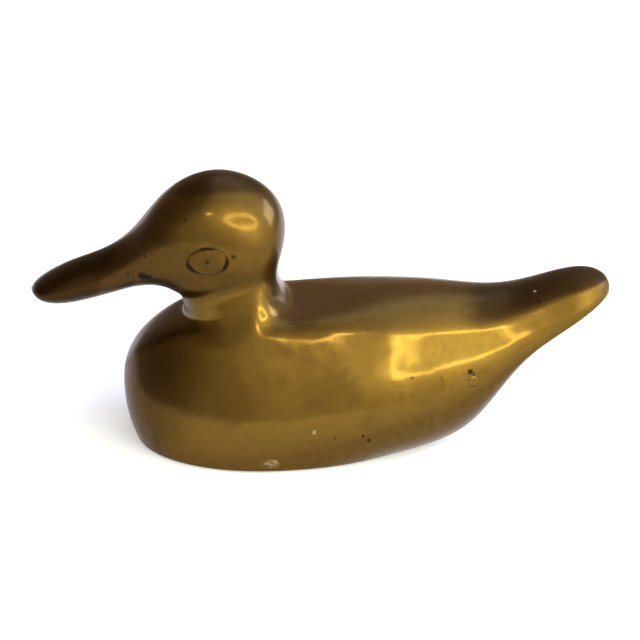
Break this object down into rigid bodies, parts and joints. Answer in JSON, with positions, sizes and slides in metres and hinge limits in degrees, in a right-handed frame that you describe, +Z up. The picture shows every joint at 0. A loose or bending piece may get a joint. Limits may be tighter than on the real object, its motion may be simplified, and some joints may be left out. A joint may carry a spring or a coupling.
{
  "type": "brass duck figurine",
  "caption": "Hollow cast brass duck figurine at rest, with a round head, long flat bill, upturned tail, engraved eyes and a felted flat base.",
  "frame": {"origin": "on the table top below the middle of the overall bounding box", "axes": "+X along the body towards the tail, -X towards the bill, -Y out of the duck's left side, +Z up"},
  "size_m": [0.1626, 0.0638, 0.077],
  "materials": {
    "cast_brass": "polished cast brass with brown tarnish",
    "plug_brass": "brass rod filed and polished flush",
    "sheet_brass": "dull rolled brass sheet",
    "braze": "pale hard solder, dull",
    "felt": "dark green wool felt"
  },
  "bodies": {
    "root": {"body_shell": "cast_brass", "head_shell": "cast_brass", "neck_braze": "braze", "core_plug_front_left": "plug_brass", "core_plug_front_right": "plug_brass", "core_plug_rear_left": "plug_brass", "core_plug_rear_right": "plug_brass", "base_plate": "sheet_brass", "base_solder": "braze", "felt_pad": "felt"}
  },
  "joints": []
}
